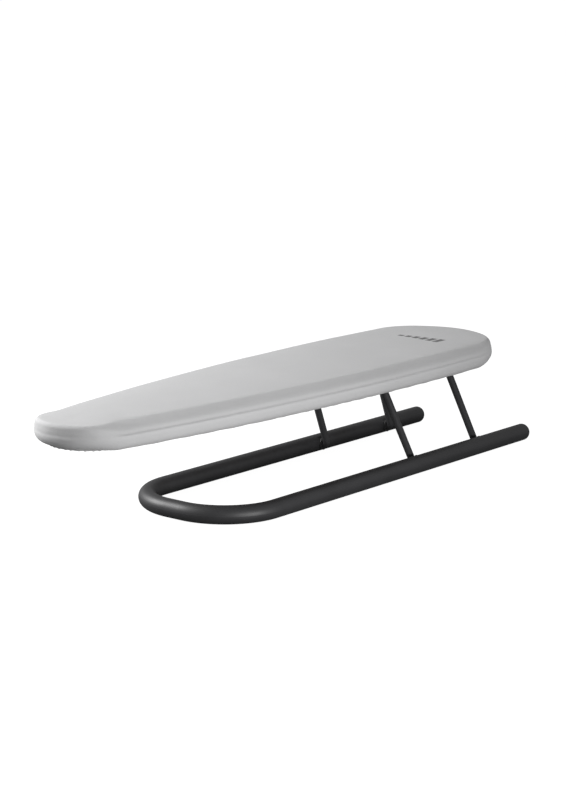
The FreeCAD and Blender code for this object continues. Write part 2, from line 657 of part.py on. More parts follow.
def make_saddle(bail):
    """Pressed steel saddle: strap, two wings with a screw hole each, and a stop tab."""
    body = make_body(bail + "_left_saddle", x="Derived.nose_x + " + cell(bail + "_bar_from_nose"),
                     y="Sizes.saddle_offset", z="Derived.bar_z")
    strap = make_sketch(body, bail + "_strap", "XZ_Plane")
    saddle_profile(strap)
    pad(body, strap, "Sizes.saddle_width", SideType="Symmetric")
    holes = make_sketch(body, bail + "_screw_holes")
    radius = (size("screw_shank") / 2 + size("screw_clearance"),
              "Sizes.screw_shank / 2 + Sizes.screw_clearance")
    for end, sign in (("heel", 1), ("nose", -1)):
        add_circle(holes, end, named("screw_offset", sign), (0, "0"), radius)
    cut_deeper(body, holes, "Derived.hole_cut", SideType="Symmetric")
    tab = make_sketch(body, bail + "_stop", "XZ_Plane")
    tab.setExpression("AttachmentOffset.Base.z",
                      "Sizes.saddle_offset + Sizes.stop_width - Sizes.stop_outer")
    stop_profile(tab)
    pad(body, tab, "Sizes.stop_width", Reversed=True)
    strip = make_sketch(body, bail + "_strip")
    inner, outer = size("saddle_width") / 2, size("stop_outer") - size("saddle_offset")
    near = (inner, "Sizes.saddle_width / 2")
    far = (outer, "Sizes.stop_outer - Sizes.saddle_offset")
    left, right = named("strap_outer"), named("wing_end")
    strip.setExpression("AttachmentOffset.Base.z", "Derived.wing_bottom")
    places = ((left, near), (right, near), (right, far), (left, far))
    lines = add_loop(strip, [point(x[0], y[0]) for x, y in places])
    for number, (line, (x, y)) in enumerate(zip(lines, places)):
        place_corner(strip, "corner_" + str(number), line, x, y)
    pad(body, strip, "Sizes.saddle_thickness")
    return body


def make_screw(name, x):
    """Pan-head wood screw, pointing up, with its head under the wing."""
    body = make_body(name, x=x, y="Sizes.saddle_offset", z="Derived.bar_z + Derived.wing_bottom")
    shank, head = size("screw_shank") / 2, size("screw_head") / 2
    length, height = size("screw_length"), size("screw_head_height")
    profile = make_sketch(body, name + "_profile", "XZ_Plane")
    half, zero = "Sizes.screw_shank / 2", (0, "0 * Sizes.screw_shank")
    rim = (head, "Sizes.screw_head / 2")
    places = (
        (zero, (-height, "-Sizes.screw_head_height")),
        ((size("screw_head_flat") / 2, "Sizes.screw_head_flat / 2"),
         (-height, "-Sizes.screw_head_height")),
        (rim, (-height / 2, "-Sizes.screw_head_height / 2")),
        (rim, zero),
        ((shank, half), zero),
        ((shank, half), (length - size("screw_point"), "Sizes.screw_length - Sizes.screw_point")),
        (zero, (length, "Sizes.screw_length")),
    )
    lines = add_loop(profile, [point(x[0], y[0]) for x, y in places])
    for number, (line, (x, y)) in enumerate(zip(lines, places)):
        place_corner(profile, "corner_" + str(number), line, x, y)
    settle(profile)
    turned = body.newObject("PartDesign::Revolution", name + "_turned")
    turned.Profile = profile
    turned.ReferenceAxis = (profile, ["V_Axis"])
    doc.recompute()
    long = (size("recess_length") / 2, "Sizes.recess_length / 2")
    short = (size("recess_width") / 2, "Sizes.recess_width / 2")
    for turn, x, y in (("along", long, short), ("across", short, long)):
        slot = make_sketch(body, name + "_recess_" + turn)
        slot.setExpression("AttachmentOffset.Base.z", "-Sizes.screw_head_height")
        minus_x, minus_y = (-x[0], "-" + x[1]), (-y[0], "-" + y[1])
        corners = ((minus_x, minus_y), (x, minus_y), (x, y), (minus_x, y))
        lines = add_loop(slot, [point(a[0], b[0]) for a, b in corners])
        for number, (line, (a, b)) in enumerate(zip(lines, corners)):
            place_corner(slot, "corner_" + str(number), line, a, b)
        cut_deeper(body, slot, "Sizes.recess_depth", Reversed=True)
    return body


def make_screw_pair(bail):
    """Both screws of a saddle, one node."""
    bar = "Derived.nose_x + " + cell(bail + "_bar_from_nose")
    pair = doc.addObject("Part::Compound", bail + "_left_saddle_screws")
    pair.Links = [make_screw(bail + "_heel_screw", bar + " + Derived.screw_offset"),
                  make_screw(bail + "_nose_screw", bar + " - Derived.screw_offset")]
    return pair


def mirror_to_right(item):
    """The same piece on the other side of the object's middle plane."""
    copy = doc.addObject("Part::Mirroring", item.Name.replace("left", "right"))
    copy.Source = item
    copy.Normal = FreeCAD.Vector(0, 1, 0)
    return copy


# ---------------------------------------------------------------- assembly and export

def build_nodes():
    nodes = [make_base_tube()]
    nodes += [make_end_cap(side, sign) for side, sign in SIDES]
    nodes += [make_bush(bail, side, sign) for bail in BAILS for side, sign in SIDES]
    nodes += [make_bail(bail) for bail in BAILS]
    nodes += [make_core(), make_felt(), make_foam(), make_cover(), *make_hem()]
    for bail in BAILS:
        saddle, screws = make_saddle(bail), make_screw_pair(bail)
        nodes += [saddle, mirror_to_right(saddle), screws, mirror_to_right(screws)]
    for node in nodes:
        node.Label = node.Name
    doc.recompute()
    return nodes


def check_document(nodes):
    """Stop before anything is written if an object failed or a piece has no sound shape."""
    failed = [item.Name for item in doc.Objects
              if "Invalid" in item.State or "Error" in item.State]
    if failed:
        raise RuntimeError("failed objects: " + ", ".join(failed))
    for node in nodes:
        if node.Shape.isNull() or not node.Shape.isValid() or not node.Shape.Solids:
            raise RuntimeError(node.Label + " has no sound shape")


def export(nodes):
    os.makedirs("parts", exist_ok=True)
    for node in nodes:
        node.Shape.exportStep(os.path.join("parts", node.Label + ".step"))


all_nodes = build_nodes()
check_document(all_nodes)
export(all_nodes)
print(len(all_nodes), "nodes written")
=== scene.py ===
"""Tabletop sleeve ironing board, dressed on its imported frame."""
import math

import bmesh
import bpy
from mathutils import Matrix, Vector, noise


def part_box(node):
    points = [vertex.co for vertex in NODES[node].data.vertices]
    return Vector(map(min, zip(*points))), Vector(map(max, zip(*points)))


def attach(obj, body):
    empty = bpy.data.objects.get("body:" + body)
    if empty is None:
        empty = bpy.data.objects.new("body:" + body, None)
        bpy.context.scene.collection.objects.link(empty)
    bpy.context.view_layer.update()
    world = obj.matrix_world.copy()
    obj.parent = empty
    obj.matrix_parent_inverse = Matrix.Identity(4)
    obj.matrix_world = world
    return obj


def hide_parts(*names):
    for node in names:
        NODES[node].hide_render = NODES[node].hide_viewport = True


bl_info = {
    "name": "Sleeve ironing board",
    "version": (1, 0, 0),
    "blender": (4, 5, 0),
    "location": "View3D > Sidebar > Sleeve board",
    "description": "Padded cover, gathered hem and finishes for a tabletop sleeve ironing board",
    "category": "Object",
}

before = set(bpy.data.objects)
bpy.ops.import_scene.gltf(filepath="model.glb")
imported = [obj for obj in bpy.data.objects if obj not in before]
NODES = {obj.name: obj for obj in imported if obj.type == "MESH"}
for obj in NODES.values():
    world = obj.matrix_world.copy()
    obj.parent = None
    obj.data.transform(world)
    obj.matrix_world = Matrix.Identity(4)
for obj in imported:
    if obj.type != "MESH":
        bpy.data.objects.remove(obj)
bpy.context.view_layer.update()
COVER_LOW, COVER_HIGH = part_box("cover")
HEM_LOW, HEM_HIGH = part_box("hem_binding")
SIDES = ("left", "right")
BAILS = ("front", "rear")
MM = 0.001


def mix(first, second, share):
    return first + (second - first) * share


def smooth_step(low, high, value):
    """0 below low, 1 above high, and a soft turn between."""
    share = min(max((value - low) / (high - low), 0.0), 1.0)
    return share * share * (3.0 - 2.0 * share)


# ---------------------------------------------------------------- sizes and colours

class CoverSettings(bpy.types.PropertyGroup):
    nose_radius: bpy.props.FloatProperty(
        name="Nose radius", description="Round of the narrow end", default=0.0513, unit="LENGTH")
    widest: bpy.props.FloatProperty(
        name="Widest place", description="Nose to where the sides are furthest apart",
        default=0.44, unit="LENGTH")
    shoulder_run: bpy.props.FloatProperty(
        name="Shoulder run", description="How far in the rounded upper edge reaches",
        default=0.0125, unit="LENGTH")
    shoulder_drop: bpy.props.FloatProperty(
        name="Shoulder drop", description="How far down the rounded upper edge reaches",
        default=0.0085, unit="LENGTH")
    fullness: bpy.props.FloatProperty(
        name="Fullness", description="Upper edge from a flat bevel, 0, to a full round, 1",
        default=0.45, min=0.0, max=1.0)
    side_round: bpy.props.FloatProperty(
        name="Side round", description="Round of the lower edge along the sides", default=0.009,
        unit="LENGTH")
    tip_round: bpy.props.FloatProperty(
        name="Tip round", description="Round of the lower edge at the nose and heel",
        default=0.0095, unit="LENGTH")
    crown: bpy.props.FloatProperty(
        name="Crown", description="Rise of the pad's middle above its edge", default=0.001,
        unit="LENGTH")
    pinch: bpy.props.FloatProperty(
        name="Pinch", description="Depth of the soft line where the pad meets the panel",
        default=0.002, unit="LENGTH")
    flare: bpy.props.FloatProperty(
        name="Flare", description="Bulge of the cloth over the panel's edge", default=0.0004,
        unit="LENGTH")
    droop: bpy.props.FloatProperty(
        name="Droop", description="Slack of the cloth under the long sides", default=0.0024,
        unit="LENGTH")
    swell: bpy.props.FloatProperty(
        name="Swell", description="Most that the simulation may move the cloth", default=0.0009,
        unit="LENGTH")
    cloth: bpy.props.FloatVectorProperty(
        name="Cloth", description="Cover's colour", default=(0.56, 0.56, 0.565), subtype="COLOR")
    print_ink: bpy.props.FloatVectorProperty(
        name="Print", description="Ink of the plain printed bars", default=(0.09, 0.09, 0.09),
        subtype="COLOR")
    print_place: bpy.props.FloatVectorProperty(
        name="Print place", description="Middle of the printed bars", size=2,
        default=(0.2125, -0.008), unit="LENGTH")
    print_size: bpy.props.FloatVectorProperty(
        name="Print size", description="Along and across the board", size=2,
        default=(0.018, 0.058), unit="LENGTH")


class HemSettings(bpy.types.PropertyGroup):
    tape: bpy.props.FloatVectorProperty(
        name="Tape", description="Casing's colour", default=(0.47, 0.47, 0.475), subtype="COLOR")
    thread: bpy.props.FloatVectorProperty(
        name="Thread", description="Colour of the stitching", default=(0.74, 0.74, 0.73),
        subtype="COLOR")
    pucker: bpy.props.FloatProperty(
        name="Pucker", description="Height of the gathers", default=0.0007, unit="LENGTH")
    pucker_pitch: bpy.props.FloatProperty(
        name="Pucker pitch", description="Distance from one gather to the next", default=0.0085,
        unit="LENGTH")


class MetalSettings(bpy.types.PropertyGroup):
    coat: bpy.props.FloatVectorProperty(
        name="Tube coat", description="Powder coat of the base tube", default=(0.03, 0.03, 0.032),
        subtype="COLOR")
    wire_coat: bpy.props.FloatVectorProperty(
        name="Wire coat", description="Powder coat of the bails", default=(0.036, 0.036, 0.038),
        subtype="COLOR")
    cap: bpy.props.FloatVectorProperty(
        name="Cap", description="Moulded end caps", default=(0.034, 0.034, 0.036), subtype="COLOR")
    nylon: bpy.props.FloatVectorProperty(
        name="Nylon", description="Bushes in the tube", default=(0.02, 0.02, 0.021), subtype="COLOR")
    zinc: bpy.props.FloatVectorProperty(
        name="Zinc", description="Saddles", default=(0.58, 0.6, 0.62), subtype="COLOR")
    steel: bpy.props.FloatVectorProperty(
        name="Steel", description="Saddle screws", default=(0.5, 0.51, 0.53), subtype="COLOR")
    board: bpy.props.FloatVectorProperty(
        name="Fibreboard", description="Panel under the pad", default=(0.36, 0.245, 0.15),
        subtype="COLOR")


class StageSettings(bpy.types.PropertyGroup):
    azimuth: bpy.props.FloatProperty(
        name="Azimuth", description="Camera's turn round the board, from straight along +Y",
        default=math.radians(-50.6), subtype="ANGLE")
    elevation: bpy.props.FloatProperty(
        name="Elevation", description="Camera's height angle", default=math.radians(11.97),
        subtype="ANGLE")
    distance: bpy.props.FloatProperty(
        name="Distance", description="Camera to the point it looks at", default=2.1087, unit="LENGTH")
    target: bpy.props.FloatVectorProperty(
        name="Target", description="Point that the camera looks at", default=(-0.00525, 0.0, 0.0877),
        subtype="XYZ")
    lens: bpy.props.FloatProperty(
        name="Lens", description="Focal length in millimetres", default=96.45)


# ---------------------------------------------------------------- outline and rings

class Outline:
    """Nose, heel and two side arcs, tangent to each other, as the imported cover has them."""

    def __init__(self, nose, widest):
        length, half = COVER_HIGH.x - COVER_LOW.x, (COVER_HIGH.y - COVER_LOW.y) / 2
        nose_run, heel_run = widest - nose, length - widest
        side = (nose_run ** 2 + half ** 2 - nose ** 2) / (2 * half - 2 * nose)
        heel = (2 * half * side - half ** 2 - heel_run ** 2) / (2 * (side - heel_run))
        nose_centre = Vector((COVER_LOW.x + nose, 0))
        heel_centre = Vector((COVER_HIGH.x - heel, 0))
        side_centre = Vector((COVER_LOW.x + widest, half - side))
        to_nose, to_heel = nose_centre - side_centre, heel_centre - side_centre
        nose_turn, heel_turn = math.atan2(to_nose.y, to_nose.x), math.atan2(to_heel.y, to_heel.x)
        self.arcs = ((heel_centre, heel, 0.0, heel_turn), (side_centre, side, heel_turn, nose_turn),
                     (nose_centre, nose, nose_turn, math.pi))
        self.half_length = sum(radius * (last - first) for _, radius, first, last in self.arcs)

    def at(self, share):
        """Centre, radius and outward direction at a share of the way round, from the heel."""
        mirrored = share > 0.5
        left = (1 - share if mirrored else share) * 2 * self.half_length
        for centre, radius, first, last in self.arcs:
            run = radius * (last - first)
            if left <= run or last == math.pi:
                turn = min(first + left / radius, last)
                break
            left -= run
        flip = -1 if mirrored else 1
        return (Vector((centre.x, flip * centre.y)), radius,
                Vector((math.cos(turn), flip * math.sin(turn))))


def start_ring(shape, count):
    return bmesh.ops.create_circle(shape, cap_ends=False, radius=1.0, segments=count)["verts"]


def ring_edges(shape, ring):
    return [shape.edges.get((vert, after)) for vert, after in zip(ring, ring[1:] + ring[:1])]


def next_ring(shape, ring):
    """A new ring joined to this one by faces, in the same order."""
    made = bmesh.ops.extrude_edge_only(shape, edges=ring_edges(shape, ring))
    fresh = {item for item in made["geom"] if isinstance(item, bmesh.types.BMVert)}
    return [next(edge.other_vert(vert) for edge in vert.link_edges if edge.other_vert(vert) in fresh)
            for vert in ring]


def finish_mesh(shape, name):
    """Turn a bmesh into a smooth object at the origin."""
    bmesh.ops.recalc_face_normals(shape, faces=shape.faces)
    mesh = bpy.data.meshes.new(name)
    shape.to_mesh(mesh)
    shape.free()
    for face in mesh.polygons:
        face.use_smooth = True
    piece = bpy.data.objects.new(name, mesh)
    bpy.context.scene.collection.objects.link(piece)
    return piece


def settle_modifiers(piece):
    """Apply every modifier on a piece."""
    graph = bpy.context.evaluated_depsgraph_get()
    done = bpy.data.meshes.new_from_object(piece.evaluated_get(graph))
    old = piece.data
    piece.modifiers.clear()
    piece.data = done
    bpy.data.meshes.remove(old)
    done.name = piece.name


# ---------------------------------------------------------------- padded cover

AROUND = 288                                 # points on each ring
ACROSS = 13                                  # faces across the flat top
TOP_INSETS = (18.5, 22.5, 27.5, 33.5, 40)    # rings on the top, millimetres in from the edge
SIDE_HEM = (11.6, 9.6, 8.6)                  # hem rows along the sides, millimetres in from the edge
TIP_HEM = (13.4, 12.6, 11.6)                 # the same rows round the nose and heel
HEM_SHARES = (0.0, 0.45, 0.9)                # their heights, from the hem to the cover's lowest line
HEM_RISE = 1.9 * MM                          # hem above the casing's underside
TOP_LIFT = 0.35 * MM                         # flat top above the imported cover's top
PINCH_BELOW = 1.6 * MM                       # soft line under the shoulder
LOWER_TURNS = (0.0, 0.4, 0.8, 1.2, math.pi / 2)
FLANK_SHARES = (0.25, 0.5, 0.75)
SHOULDER_SHARES = (0.07, 0.24, 0.42, 0.58, 0.74, 0.88, 1.0)
HELD_ROWS = len(SIDE_HEM)                    # hem rows that the simulation keeps still
FILL_FRAMES = 20
CLOTH_WALL = 0.8 * MM
PANEL_GAP = 0.9 * MM                         # cover's outer side to the panel, at least
SLACK_SHARE = 0.6                            # of the swell, drawn in before the simulation
TIP_RANGE = (0.12, 0.85)                     # outward direction's x, from side to tip
TIP_RUN, TIP_DROP = 0.26, 0.36               # tips' shoulder against the sides' shoulder


def cover_section(settings, tip, slack):
    """The cover's section from the hem to the flat top, as (inset, height).

    tip is 1 round the nose and heel, where the cloth is drawn tight, and 0 along the sides."""
    low = mix(COVER_LOW.z - settings.droop, COVER_LOW.z, tip)
    radius = mix(settings.side_round, settings.tip_round, tip)
    run = settings.shoulder_run * mix(1.0, TIP_RUN, tip)
    drop = settings.shoulder_drop * mix(1.0, TIP_DROP, tip)
    pinch = settings.pinch * (1 - tip)
    pinch_height = COVER_HIGH.z - drop - PINCH_BELOW
    top = COVER_HIGH.z + TOP_LIFT
    hem = HEM_LOW.z + HEM_RISE
    rows = [(mix(side, end, tip) * MM, mix(hem, low, share))
            for side, end, share in zip(SIDE_HEM, TIP_HEM, HEM_SHARES)]
    for turn in LOWER_TURNS:
        tucked = slack * math.sin(turn)
        rows.append((radius * (1 - math.sin(turn)) + tucked, low + radius * (1 - math.cos(turn))))
    for share in FLANK_SHARES:
        bulge = settings.flare * math.sin(math.pi * share)
        rows.append((slack - bulge, mix(low + radius, pinch_height, share)))
    rows.append((slack + pinch, pinch_height))
    for share in SHOULDER_SHARES:
        turn = share * math.pi / 2
        inset = run * mix(share, 1 - math.cos(turn), settings.fullness)
        fall = drop * mix(1 - share, 1 - math.sin(turn), settings.fullness)
        rows.append((slack + 0.9 * pinch + inset, top - slack - fall))
    for inset in TOP_INSETS:
        rise = settings.crown * smooth_step(settings.shoulder_run / MM, 60, inset)
        rows.append((inset * MM, top - slack + rise))
    return rows


def build_cover(settings, slack):
    """Rings from the hem to the top, and a grid that closes the middle."""
    outline = Outline(settings.nose_radius, settings.widest)
    shape = bmesh.new()
    flat = shape.loops.layers.uv.new("cloth")
    cut_x, cut_y = (shape.verts.layers.float.new(name) for name in ("cut_x", "cut_y"))
    fixed = shape.verts.layers.float.new("held")
    spots = []
    for index in range(AROUND):
        centre, radius, outward = outline.at(index / AROUND)
        tip = smooth_step(*TIP_RANGE, abs(outward.x))
        spots.append((centre, radius, outward, cover_section(settings, tip, slack)))
    ring = start_ring(shape, AROUND)
    row_count = len(spots[0][3])
    for row in range(row_count):
        if row:
            ring = next_ring(shape, ring)
        for vert, (centre, radius, outward, section) in zip(ring, spots):
            inset, height = section[row]
            spot = centre + outward * (radius - inset)
            vert.co = (spot.x, spot.y, height)
            beyond = sum((Vector(a) - Vector(b)).length for a, b in zip(section[row:], section[row + 1:]))
            cut = centre + outward * (radius - section[-1][0] + beyond)
            vert[cut_x], vert[cut_y] = cut.x, cut.y
            vert[fixed] = 1.0 if row < HELD_ROWS else 0.0
    half = AROUND // 2
    left, right = ring[1:half], ring[:half:-1]
    chain = [shape.edges.get(pair) for side in (left, right) for pair in zip(side, side[1:])]
    bmesh.ops.bridge_loops(shape, edges=chain)
    for corner in ((ring[0], ring[1], ring[-1]), (ring[half - 1], ring[half], ring[half + 1])):
        bmesh.ops.contextual_create(shape, geom=list(corner))
    rungs = [shape.edges.get(pair) for pair in zip(left, right)]
    bmesh.ops.subdivide_edges(shape, edges=rungs, cuts=ACROSS - 1, use_grid_fill=True)
    reach = COVER_HIGH.y - TOP_INSETS[-1] * MM
    for vert in shape.verts:
        middle = smooth_step(reach, 0.0, abs(vert.co.y)) if vert.co.z > COVER_HIGH.z - 2 * MM else 0.0
        vert.co.z += 0.35 * settings.crown * middle
    for face in shape.faces:
        for loop in face.loops:
            loop[flat].uv = (loop.vert[cut_x], loop.vert[cut_y])
    shape.verts.index_update()
    held = [vert.index for vert in shape.verts if vert[fixed] > 0.5]
    for layer in (cut_x, cut_y, fixed):
        shape.verts.layers.float.remove(layer)
    return finish_mesh(shape, "padded_cover"), held


def inflate(piece, held, cap):
    """Let the cloth fill with its padding for a few frames, and limit how far it moves.

    The padding lets it move out from its first shape but not in."""
    group = piece.vertex_groups.new(name="held")
    group.add(held, 1.0, "REPLACE")
    cloth = piece.modifiers.new("fill", "CLOTH")
    cloth.settings.quality = 6
    cloth.settings.mass = 0.25
    cloth.settings.tension_stiffness = 18
    cloth.settings.compression_stiffness = 18
    cloth.settings.bending_stiffness = 0.6
    cloth.settings.vertex_group_mass = group.name
    cloth.settings.use_pressure = True
    cloth.settings.uniform_pressure_force = 0.45
    cloth.settings.effector_weights.gravity = 0
    cloth.point_cache.frame_start, cloth.point_cache.frame_end = 1, FILL_FRAMES
    scene = bpy.context.scene
    for number in range(1, FILL_FRAMES + 1):
        scene.frame_set(number)
    graph = bpy.context.evaluated_depsgraph_get()
    filled = [vert.co.copy() for vert in piece.evaluated_get(graph).data.vertices]
    piece.modifiers.clear()
    piece.vertex_groups.clear()
    scene.frame_set(1)
    normals = [Vector(item.vector) for item in piece.data.vertex_normals]
    moved = []
    for vert, place, outward in zip(piece.data.vertices, filled, normals):
        step = place - vert.co
        step -= outward * min(step.dot(outward), 0.0)
        if step.length > 1e-9:
            vert.co += step.normalized() * cap * math.tanh(step.length / cap)
        moved.append(step.length)
    print("cloth moved %.2f mm on average, %.2f mm at most" % (
        sum(moved) / len(moved) / MM, max(moved) / MM))


LUMPS, FINE_LUMPS, DEEPEST_LUMP = 0.22, 0.07, -0.1     # heights in millimetres
DRAGS, GATHERS = (0.34, 0.55), (0.5, 1.1)              # the same, along the sides and at the tips


def ruck(piece):
    """Soft unevenness of the pad, drag folds on the side band and gathers under the edge."""
    mesh = piece.data
    low, top = COVER_LOW.z, COVER_HIGH.z
    normals = [Vector(item.vector) for item in mesh.vertex_normals]
    for vert, outward in zip(mesh.vertices, normals):
        x, y, z = vert.co
        under = smooth_step(0.8, 0.97, -outward.z)
        flank = (1 - abs(outward.z)) * smooth_step(top, low + 6 * MM, z)
        tip = smooth_step(0.2, 0.9, abs(outward.x))
        lumps = noise.noise(Vector((x, y, z)) / (55 * MM)) * LUMPS
        lumps += noise.noise(Vector((x * 1.4, y, z + 0.3)) / (21 * MM)) * FINE_LUMPS
        lumps = max(lumps, DEEPEST_LUMP)
        around = x * (1 if y > 0 else -1) + 0.35 * y
        slant = around + 0.9 * (z - low) * (1 if x > 0 else -1)
        drag = noise.noise(Vector((slant / (13 * MM), z / (60 * MM), 4.0 if y > 0 else 9.0)))
        drag = max(drag, -0.15) * mix(*DRAGS, tip) * flank
        turn = math.atan2(y, x) * 9 + x * 40
        phase = turn + 2.2 * noise.noise(Vector((x, y, 0.0)) / (24 * MM))
        gather = (0.5 + 0.5 * math.sin(phase * 2.2)) * under * mix(*GATHERS, tip)
        vert.co += outward * ((lumps + drag + gather) * MM)
    mesh.update()


# ---------------------------------------------------------------- materials

class Recipe:
    """A material under construction: short calls for the nodes it uses."""

    def __init__(self, name, colour, roughness, metallic=0.0, specular=0.5):
        self.material = bpy.data.materials.new(name)
        self.material.use_nodes = True
        self.material.diffuse_color = (*colour, 1.0)
        self.tree = self.material.node_tree
        self.shader = self.tree.nodes["Principled BSDF"]
        self.shader.inputs["Base Color"].default_value = (*colour, 1.0)
        self.shader.inputs["Roughness"].default_value = roughness
        self.shader.inputs["Metallic"].default_value = metallic
        self.shader.inputs["Specular IOR Level"].default_value = specular
        self.coordinates = None

    def add(self, kind, **settings):
        node = self.tree.nodes.new("ShaderNode" + kind)
        for setting, value in settings.items():
            setattr(node, setting, value)
        return node

    def join(self, output, entry):
        self.tree.links.new(output, entry)

    def place(self):
        """Object coordinates, in metres."""
        if self.coordinates is None:
            self.coordinates = self.add("TexCoord")
        return self.coordinates.outputs["Object"]

    def cloth_map(self):
        node = self.add("UVMap")
        node.uv_map = "cloth"
        return node.outputs["UV"]

    def scaled(self, source, scale, turn=(0, 0, 0), shift=(0, 0, 0)):
        node = self.add("Mapping")
        self.join(source, node.inputs["Vector"])
        node.inputs["Scale"].default_value = scale
        node.inputs["Rotation"].default_value = turn
        node.inputs["Location"].default_value = shift
        return node.outputs["Vector"]

    def grain(self, source, scale, detail=3.0, roughness=0.55):
        node = self.add("TexNoise")
        self.join(source, node.inputs["Vector"])
        node.inputs["Scale"].default_value = scale
        node.inputs["Detail"].default_value = detail
        node.inputs["Roughness"].default_value = roughness
        return node.outputs["Fac"]

    def cells(self, source, scale):
        node = self.add("TexVoronoi")
        self.join(source, node.inputs["Vector"])
        node.inputs["Scale"].default_value = scale
        return node

    def waves(self, source, scale, direction, distortion=0.0):
        node = self.add("TexWave", bands_direction=direction)
        self.join(source, node.inputs["Vector"])
        node.inputs["Scale"].default_value = scale
        node.inputs["Distortion"].default_value = distortion
        return node.outputs["Fac"]

    def sum(self, operation, first, second=None, third=None):
        node = self.add("Math", operation=operation)
        for entry, value in zip(node.inputs, (first, second, third)):
            if value is None:
                continue
            if isinstance(value, (int, float)):
                entry.default_value = value
            else:
                self.join(value, entry)
        return node.outputs["Value"]

    def spread(self, source, low, high, start=0.0, end=1.0):
        """Stretch a value from start..end to low..high."""
        node = self.add("MapRange")
        self.join(source, node.inputs["Value"])
        for entry, value in (("From Min", start), ("From Max", end), ("To Min", low), ("To Max", high)):
            node.inputs[entry].default_value = value
        return node.outputs["Result"]

    def blend(self, share, first, second):
        """Between two colours; each is a colour or another node's output."""
        node = self.add("Mix", data_type="RGBA")
        self.join(share, node.inputs["Factor"])
        for entry, value in (("A", first), ("B", second)):
            socket = next(item for item in node.inputs if item.name == entry and item.type == "RGBA")
            if isinstance(value, tuple):
                socket.default_value = (*value, 1.0)
            else:
                self.join(value, socket)
        return next(item for item in node.outputs if item.type == "RGBA")

    def bump(self, height, distance, strength=1.0):
        node = self.add("Bump")
        self.join(height, node.inputs["Height"])
        node.inputs["Distance"].default_value = distance
        node.inputs["Strength"].default_value = strength
        self.join(node.outputs["Normal"], self.shader.inputs["Normal"])

    def colour(self, output):
        self.join(output, self.shader.inputs["Base Color"])

    def gloss(self, output):
        self.join(output, self.shader.inputs["Roughness"])


def shade(colour, factor):
    return tuple(min(channel * factor, 1.0) for channel in colour)


def weave(recipe, source, pitch):
    """Over-and-under threads of a plain weave, 0 to 1."""
    scale = math.pi / 10 / pitch
    warp = recipe.waves(source, scale, "X", 0.6)
    weft = recipe.waves(source, scale, "Y", 0.6)
    crossing = recipe.sum("MULTIPLY", recipe.sum("SUBTRACT", warp, 0.5), recipe.sum("SUBTRACT", weft, 0.5))
    return recipe.sum("MULTIPLY_ADD", crossing, 2.0, 0.5)


def printed_bars(recipe, settings):
    """Mask of a row of plain bars near the heel, 1 where there is ink."""
    along, across = settings.print_size
    middle = settings.print_place
    centred = recipe.scaled(recipe.place(), (1 / along, 1 / across, 1.0),
                            shift=(-middle[0] / along, -middle[1] / across, 0.0))
    parts = recipe.add("SeparateXYZ")
    recipe.join(centred, parts.inputs[0])
    x, y = parts.outputs["X"], parts.outputs["Y"]
    count = 6
    step = recipe.sum("MULTIPLY", recipe.sum("SUBTRACT", 0.5, y), count)
    bar = recipe.sum("FRACT", step)
    inside = recipe.sum("LESS_THAN", recipe.sum("ABSOLUTE", recipe.sum("SUBTRACT", bar, 0.5)), 0.36)
    number = recipe.sum("FLOOR", step)
    height = recipe.sum("MULTIPLY_ADD", number, 0.062, 0.16)
    tall = recipe.sum("LESS_THAN", recipe.sum("ABSOLUTE", x), height)
    ends = recipe.sum("LESS_THAN", recipe.sum("ABSOLUTE", y), 0.5)
    return recipe.sum("MULTIPLY", recipe.sum("MULTIPLY", inside, tall), ends)


def make_cloth(settings):
    recipe = Recipe("grey_cover_cloth", settings.cloth, 0.86, specular=0.3)
    pattern, place = recipe.cloth_map(), recipe.place()
    threads = weave(recipe, pattern, 0.9 * MM)
    slubs = recipe.grain(recipe.scaled(pattern, (1.0, 5.0, 1.0)), 260.0, 4.0)
    clouds = recipe.grain(place, 14.0, 4.0)
    mottle = recipe.sum("ADD", recipe.sum("MULTIPLY", slubs, 0.45), recipe.sum("MULTIPLY", clouds, 0.55))
    base = recipe.blend(recipe.spread(mottle, 0.0, 1.0, 0.3, 0.7), shade(settings.cloth, 0.95),
                        shade(settings.cloth, 1.05))
    woven = recipe.blend(recipe.sum("MULTIPLY", threads, 0.16), base, shade(settings.cloth, 0.7))
    ink = recipe.sum("MULTIPLY", printed_bars(recipe, settings), 0.92)
    recipe.colour(recipe.blend(ink, woven, tuple(settings.print_ink)))
    recipe.gloss(recipe.spread(mottle, 0.8, 0.92, 0.3, 0.7))
    height = recipe.sum("MULTIPLY_ADD", slubs, 0.5, threads)
    recipe.bump(height, 0.16 * MM, 0.7)
    recipe.shader.inputs["Sheen Weight"].default_value = 0.12
    recipe.shader.inputs["Sheen Roughness"].default_value = 0.45
    return recipe.material


